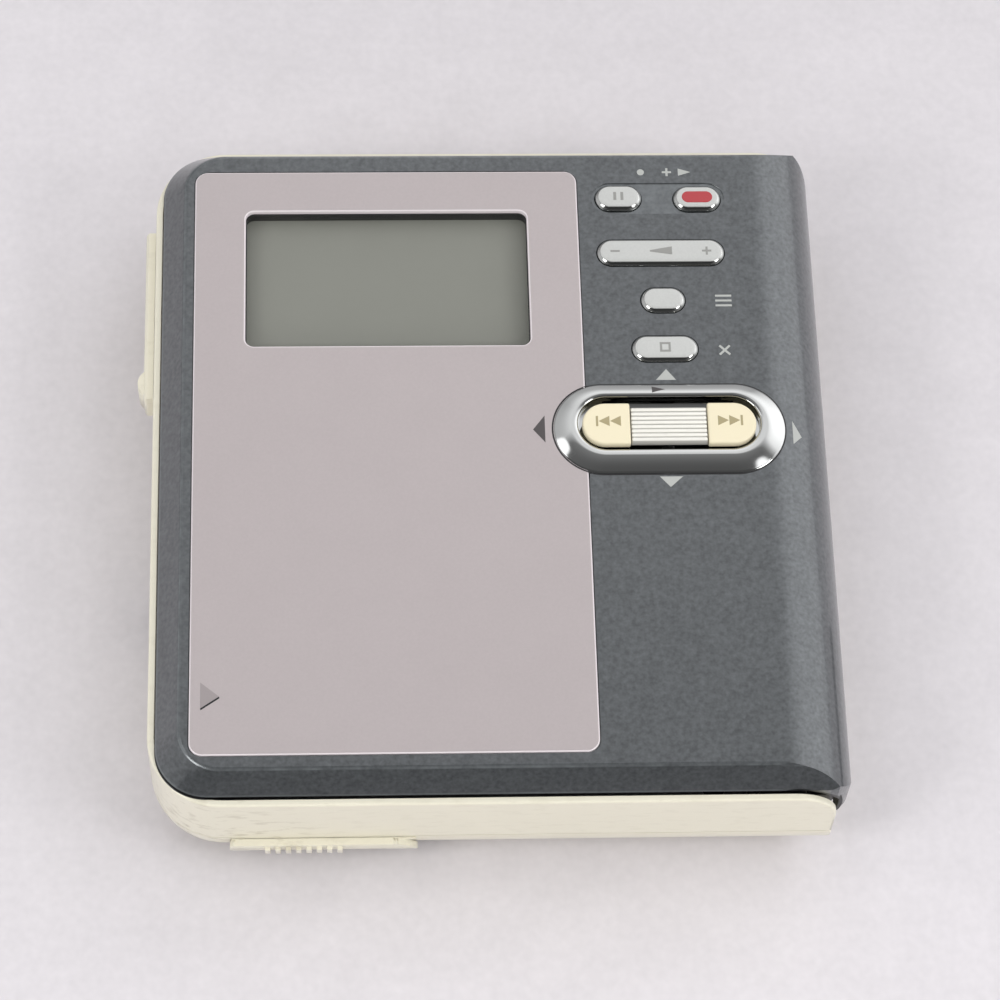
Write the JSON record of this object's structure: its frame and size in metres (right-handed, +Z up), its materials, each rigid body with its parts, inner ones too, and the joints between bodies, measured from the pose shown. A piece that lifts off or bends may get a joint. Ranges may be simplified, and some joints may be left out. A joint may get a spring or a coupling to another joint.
{
  "type": "portable disc player and recorder",
  "caption": "Pocket disc player with a hinged grey metal lid, display window, oval keys, a ribbed control bar in a bright oval bezel and a pale rounded case.",
  "frame": {"origin": "centre of the case's footprint, on the table", "axes": "+Z up from the table, -Y towards the edge with the battery door, +X towards the lid's hinge"},
  "size_m": [0.0798, 0.0858, 0.0217],
  "materials": {
    "silver_plastic": "satin warm silver",
    "lid_paint": "satin dark grey, fine metallic grain",
    "panel_metal": "fine satin",
    "clear_window": "clear",
    "lcd_face": "grey green display cell",
    "bright_ring": "polished plated plastic",
    "bright_key": "satin top, polished edge",
    "red_insert": "gloss",
    "cream_cap": "satin",
    "white_grip": "satin ribs",
    "steel_sheet": "plain sheet",
    "steel_pin": "ground",
    "dark_screw": "blackened",
    "green_board": "solder mask",
    "battery_sleeve": "sleeve",
    "gold_contact": "plated",
    "black_plastic": "moulded",
    "magnet": "coated",
    "lens_glass": "coated lens",
    "white_gear": "moulded",
    "brass_pinion": "machined"
  },
  "bodies": {
    "case": {"base_frame": "silver_plastic", "bottom_cover": "silver_plastic", "bottom_screws": "dark_screw", "deck_plate": "steel_sheet", "deck_screws": "dark_screw", "hinge_pins": "steel_pin", "main_board": "green_board", "battery": "battery_sleeve", "battery_contact": "gold_contact", "usb_socket": "steel_sheet", "headphone_jack": "black_plastic", "line_in_jack": "black_plastic", "mic_jack": "black_plastic", "dc_jack": "black_plastic", "spindle_motor": "steel_sheet", "guide_rods": "steel_pin", "screw_brackets": "steel_sheet", "sled_motor": "steel_sheet"},
    "lid": {"lid_shell": "lid_paint", "lid_inner_plate": "steel_sheet", "lid_screws": "dark_screw", "display_panel": "panel_metal", "display_window": "clear_window", "lcd_module": "lcd_face", "key_board": "green_board", "control_ring": "bright_ring"},
    "holder": {"disc_holder": "steel_sheet", "cartridge_springs": "steel_sheet"},
    "spindle": {"turntable": "black_plastic", "clamp_magnet": "magnet"},
    "sled": {"optical_pickup": "black_plastic", "lens_holder": "black_plastic", "objective_lens": "lens_glass"},
    "drive_screw": {"lead_screw": "steel_pin", "screw_gear": "white_gear"},
    "pinion": {"motor_pinion": "brass_pinion"},
    "gimbal": {"stick_gimbal": "white_gear"},
    "stem": {"stick_stem": "white_gear"},
    "bar": {"stick_carrier": "white_gear", "skip_back_cap": "cream_cap", "ribbed_grip": "white_grip", "skip_forward_cap": "cream_cap"},
    "pause_key": {"pause_button": "bright_key"},
    "record_key": {"record_button": "bright_key", "record_insert": "red_insert"},
    "volume_key": {"volume_rocker": "bright_key"},
    "search_key": {"search_button": "bright_key"},
    "cancel_key": {"cancel_button": "bright_key"},
    "catch": {"open_slider": "silver_plastic", "latch_plate": "steel_sheet"},
    "hold_switch": {"hold_slider": "silver_plastic"},
    "door_hinge": {"battery_door_pin": "steel_pin"},
    "door": {"battery_door": "silver_plastic"}
  },
  "joints": [
    {"name": "lid_hinge", "type": "hinge", "parent": "case", "child": "lid", "pos_m": [0.03095, 0, 0.0127], "axis": [0, 1, 0], "range_deg": [0, 36]},
    {"name": "holder_hinge", "type": "hinge", "parent": "case", "child": "holder", "pos_m": [0.03095, 0, 0.0127], "axis": [0, 1, 0], "range_deg": [0, 21.7]},
    {"name": "turntable_spin", "type": "hinge", "parent": "case", "child": "spindle", "pos_m": [-0.0013, 0, 0.009], "axis": [0, 0, 1], "continuous": true},
    {"name": "sled_slide", "type": "slide", "parent": "case", "child": "sled", "axis": [0, -1, 0], "range_m": [0, 0.0145]},
    {"name": "lead_screw_spin", "type": "hinge", "parent": "case", "child": "drive_screw", "pos_m": [0.012, 0, 0.0058], "axis": [0, 1, 0], "range_deg": [0, 2610.5]},
    {"name": "pinion_spin", "type": "hinge", "parent": "case", "child": "pinion", "pos_m": [0.01505, 0, 0.0058], "axis": [0, 1, 0], "range_deg": [-5221, 0]},
    {"name": "bar_tilt_side", "type": "hinge", "parent": "lid", "child": "gimbal", "pos_m": [0.02005, 0.0023, 0.0186], "axis": [0, 1, 0], "range_deg": [-2.5, 2.5], "stiffness_Nm_per_rad": 0.06},
    {"name": "bar_tilt_fore", "type": "hinge", "parent": "gimbal", "child": "stem", "pos_m": [0.02005, 0.0023, 0.0186], "axis": [1, 0, 0], "range_deg": [-4, 4], "stiffness_Nm_per_rad": 0.06},
    {"name": "bar_press", "type": "slide", "parent": "stem", "child": "bar", "axis": [0, 0, -1], "range_m": [0, 0.00025], "stiffness_N_per_m": 2500},
    {"name": "pause_press", "type": "slide", "parent": "lid", "child": "pause_key", "axis": [0, 0, -1], "range_m": [0, 0.0003], "stiffness_N_per_m": 2500},
    {"name": "record_press", "type": "slide", "parent": "lid", "child": "record_key", "axis": [0, 0, -1], "range_m": [0, 0.0003], "stiffness_N_per_m": 2500},
    {"name": "volume_rock", "type": "hinge", "parent": "lid", "child": "volume_key", "pos_m": [0.02018, 0.02567, 0.01925], "axis": [0, 1, 0], "range_deg": [-1.2, 1.2], "stiffness_Nm_per_rad": 0.05},
    {"name": "search_press", "type": "slide", "parent": "lid", "child": "search_key", "axis": [0, 0, -1], "range_m": [0, 0.0003], "stiffness_N_per_m": 2500},
    {"name": "cancel_press", "type": "slide", "parent": "lid", "child": "cancel_key", "axis": [0, 0, -1], "range_m": [0, 0.0003], "stiffness_N_per_m": 2500},
    {"name": "catch_slide", "type": "slide", "parent": "case", "child": "catch", "axis": [0, -1, 0], "range_m": [0, 0.003], "stiffness_N_per_m": 300},
    {"name": "hold_slide", "type": "slide", "parent": "case", "child": "hold_switch", "axis": [1, 0, 0], "range_m": [0, 0.002]},
    {"name": "door_slide", "type": "slide", "parent": "case", "child": "door_hinge", "axis": [1, 0, 0], "range_m": [0, 0.0025]},
    {"name": "door_swing", "type": "hinge", "parent": "door_hinge", "child": "door", "pos_m": [-0.0196, -0.0382, 0.0022], "axis": [1, 0, 0], "range_deg": [0, 45]}
  ],
  "couplings": [
    {"joint": "holder_hinge", "follows": "lid_hinge", "ratio": 0.6},
    {"joint": "lead_screw_spin", "follows": "sled_slide", "rad_per_m": 3141.6},
    {"joint": "pinion_spin", "follows": "sled_slide", "rad_per_m": -6283.2}
  ]
}
